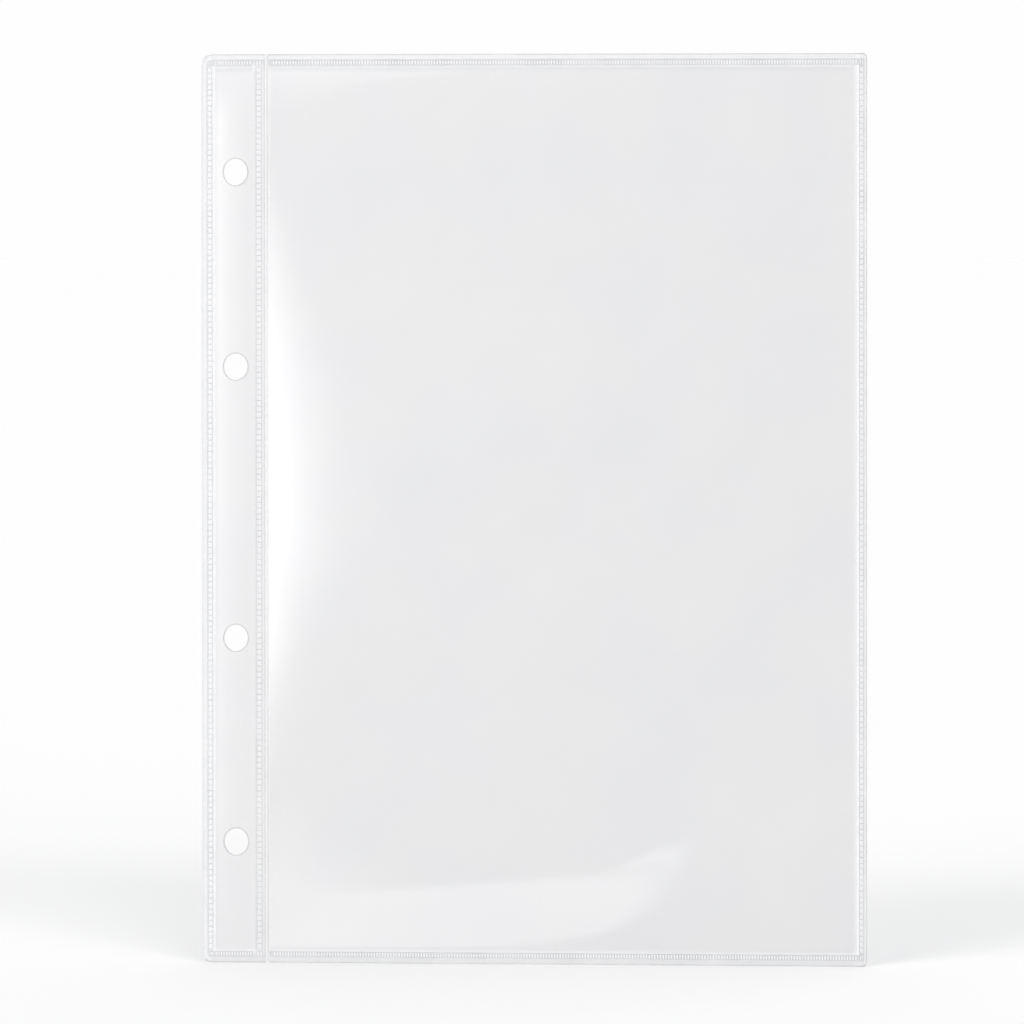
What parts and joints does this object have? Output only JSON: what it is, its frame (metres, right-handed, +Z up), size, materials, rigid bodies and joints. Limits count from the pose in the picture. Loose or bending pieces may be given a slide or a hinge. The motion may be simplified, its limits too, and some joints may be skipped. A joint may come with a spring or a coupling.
{
  "type": "binder pocket page",
  "caption": "Clear vinyl pocket page for a ring binder: a welded binding strip with ring holes and a side-opening pocket that bends at the spine crease.",
  "frame": {"origin": "on the line of the ring holes, midway between the middle two, on the plane where the front films are welded to the back films", "axes": "+Z up along the binding edge, +X from the binding edge towards the far edge of the pocket, front of the page towards -Y"},
  "size_m": [0.1643, 0.0075, 0.2236],
  "materials": {
    "strip_film": "clear flexible PVC, two plies welded together, glossy with heat-sealed ribs",
    "pocket_film": "clear flexible PVC film, glossy, slightly blue-grey, with heat-sealed ribs along its welds"
  },
  "bodies": {
    "binding_strip": {"strip_back_ply": "strip_film", "strip_front_ply": "strip_film"},
    "pocket": {"pocket_back_film": "pocket_film", "pocket_front_film": "pocket_film"}
  },
  "joints": [
    {"name": "spine_crease", "type": "hinge", "parent": "binding_strip", "child": "pocket", "pos_m": [0.00775, 0.00013, 0], "axis": [0, 0, 1], "range_deg": [-90, 90], "stiffness_Nm_per_rad": 0.004}
  ]
}
